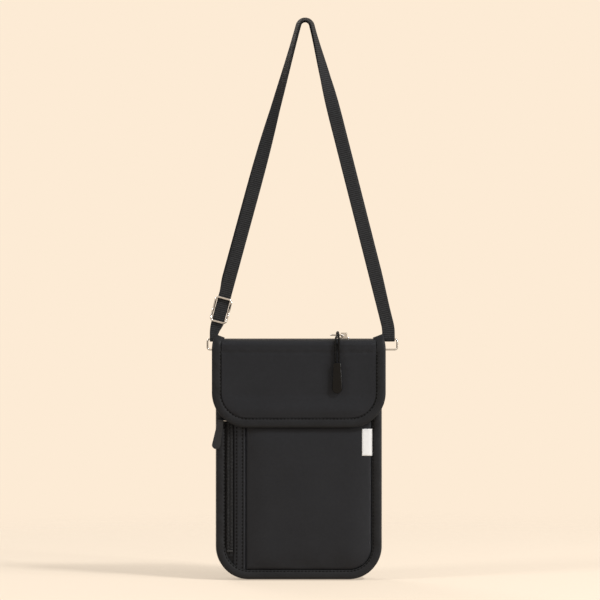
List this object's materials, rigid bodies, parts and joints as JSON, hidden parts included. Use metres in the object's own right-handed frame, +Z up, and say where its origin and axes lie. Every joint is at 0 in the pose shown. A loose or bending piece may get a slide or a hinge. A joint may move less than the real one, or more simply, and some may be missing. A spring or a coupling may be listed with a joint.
{
  "type": "flat crossbody pouch",
  "caption": "Flat black crossbody pouch with a front flap, zipped top and front pocket, edge tape, and a webbing strap on wire rings with a metal adjuster.",
  "frame": {"origin": "middle of the underside of the gusset, where the hanging bag ends", "axes": "+Z up towards the strap, -Y out of the front with the flap, +X to the right seen from the front"},
  "size_m": [0.143, 0.0309, 0.4164],
  "materials": {
    "fabric": "satin woven nylon",
    "edge_tape": "matte woven tape",
    "webbing": "ribbed matte webbing",
    "zip_nylon": "moulded nylon",
    "bright_metal": "polished nickel plate",
    "pull_grip": "glossy moulded",
    "pull_leather": "smooth matte",
    "lining": "plain woven",
    "label": "bare woven white"
  },
  "bodies": {
    "strap": {"strap_webbing": "webbing", "strap_back_layer": "webbing"},
    "adjuster": {"adjuster_frame": "bright_metal", "adjuster_fold": "webbing"},
    "bag": {"gusset": "fabric", "front_panel": "fabric", "back_panel": "fabric", "front_binding": "edge_tape", "back_binding": "edge_tape", "card_divider": "lining", "top_zip_tape_front": "edge_tape", "top_zip_tape_back": "edge_tape", "top_zip_teeth_front": "zip_nylon", "top_zip_teeth_back": "zip_nylon", "pocket_panel": "fabric", "pocket_placket": "fabric", "pocket_zip_tape_left": "edge_tape", "pocket_zip_tape_right": "edge_tape", "pocket_zip_teeth_left": "zip_nylon", "pocket_zip_teeth_right": "zip_nylon", "pocket_zip_stop": "zip_nylon", "flap_fold": "fabric", "pocket_loop_pad": "edge_tape", "side_label": "label", "left_ring": "bright_metal", "right_ring": "bright_metal", "left_ring_tab": "edge_tape", "right_ring_tab": "edge_tape"},
    "flap": {"flap_panel": "fabric", "flap_binding": "edge_tape", "flap_hook_pad": "edge_tape"},
    "top_slider": {"top_zip_slider": "bright_metal", "top_zip_ring": "bright_metal"},
    "top_pull": {"top_zip_pull_cord": "webbing", "top_zip_pull_grip": "pull_grip"},
    "pocket_slider": {"pocket_zip_slider": "bright_metal"},
    "pocket_tab": {"pocket_zip_tab": "pull_leather"}
  },
  "joints": [
    {"name": "bag_swing", "type": "hinge", "parent": "strap", "child": "bag", "pos_m": [0, 0, 0.178], "axis": [1, 0, 0], "range_deg": [-30, 30]},
    {"name": "adjuster_slide", "type": "slide", "parent": "strap", "child": "adjuster", "axis": [0.2636, 0, 0.9646], "range_m": [0, 0.06], "deforming": ["strap_back_layer"]},
    {"name": "flap_hinge", "type": "hinge", "parent": "bag", "child": "flap", "pos_m": [0, -0.01555, 0.1729], "axis": [-1, 0, 0], "range_deg": [0, 135]},
    {"name": "top_slider_slide", "type": "slide", "parent": "bag", "child": "top_slider", "axis": [-1, 0, 0], "range_m": [0, 0.064]},
    {"name": "pull_swing", "type": "hinge", "parent": "top_slider", "child": "top_pull", "pos_m": [0.0284, -0.0035, 0.181], "axis": [-1, 0, 0], "range_deg": [0, 108]},
    {"name": "pocket_slider_slide", "type": "slide", "parent": "bag", "child": "pocket_slider", "axis": [0, 0, -1], "range_m": [0, 0.09]},
    {"name": "tab_swing", "type": "hinge", "parent": "pocket_slider", "child": "pocket_tab", "pos_m": [-0.058, -0.0136, 0.1176], "axis": [-1, 0, 0], "range_deg": [0, 80]}
  ],
  "couplings": [
    {"joint": "pull_swing", "follows": "flap_hinge", "ratio": 0.8}
  ]
}
